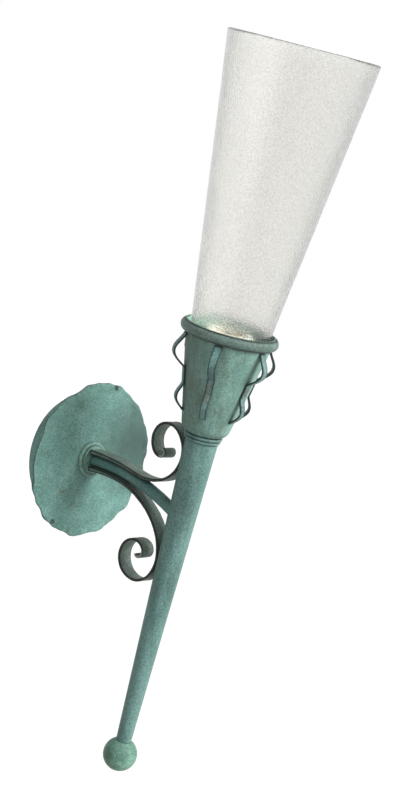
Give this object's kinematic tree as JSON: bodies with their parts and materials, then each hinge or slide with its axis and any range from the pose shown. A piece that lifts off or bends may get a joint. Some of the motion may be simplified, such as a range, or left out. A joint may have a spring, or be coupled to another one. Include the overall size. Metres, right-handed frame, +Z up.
{
  "type": "torch sconce",
  "caption": "Wall torch sconce: tapered shaft with a ball end on a scrolled arm, a cup with wavy straps, a tall seeded glass shade and a wavy-edged wall plate.",
  "frame": {"origin": "centre of the mounting bar's wall side, midway between the two box slots, in the wall plane", "axes": "+Z up, +Y into the wall; the torch stands out towards -Y and leans away from the wall at its top; X is across the sconce"},
  "size_m": [0.1311, 0.2589, 0.6138],
  "materials": {
    "verdigris": "mottled green patina over dark metal",
    "zinc_steel": "zinc plated",
    "green_screw": "green",
    "brass": "plain",
    "gasket": "matt",
    "seeded_glass": "translucent with small bubbles",
    "porcelain": "glazed",
    "black_wire": "insulated",
    "white_wire": "insulated"
  },
  "bodies": {
    "fixed": {"mounting_bar": "zinc_steel", "canopy_screws": "verdigris", "ground_screw": "green_screw", "canopy_pan": "verdigris", "wavy_plate": "verdigris", "boss_collar": "verdigris", "wall_nipple": "brass", "wall_washer": "zinc_steel", "wall_nut": "zinc_steel", "arm_tube": "verdigris", "upper_scroll": "verdigris", "lower_scroll": "verdigris", "shaft": "verdigris", "finial_stud": "zinc_steel", "ball_finial": "verdigris", "neck_collar": "verdigris", "torch_nipple": "brass", "cup": "verdigris", "cup_washer": "zinc_steel", "cup_nut": "zinc_steel", "cup_rim": "verdigris", "wavy_strap_1": "verdigris", "wavy_strap_2": "verdigris", "wavy_strap_3": "verdigris", "wavy_strap_4": "verdigris", "wavy_strap_5": "verdigris", "wavy_strap_6": "verdigris", "seat_ring": "zinc_steel", "seat_gasket": "gasket", "holder_cap": "zinc_steel", "holder_screws": "zinc_steel", "holder_body": "porcelain", "screw_shell": "brass", "centre_contact": "brass", "terminal_screws": "brass", "lead_black": "black_wire", "lead_white": "white_wire"},
    "shade": {"glass_shade": "seeded_glass"}
  },
  "joints": [
    {"name": "shade_lift", "type": "slide", "parent": "fixed", "child": "shade", "axis": [0, -0.1736, 0.9848], "range_m": [0, 0.06]}
  ]
}
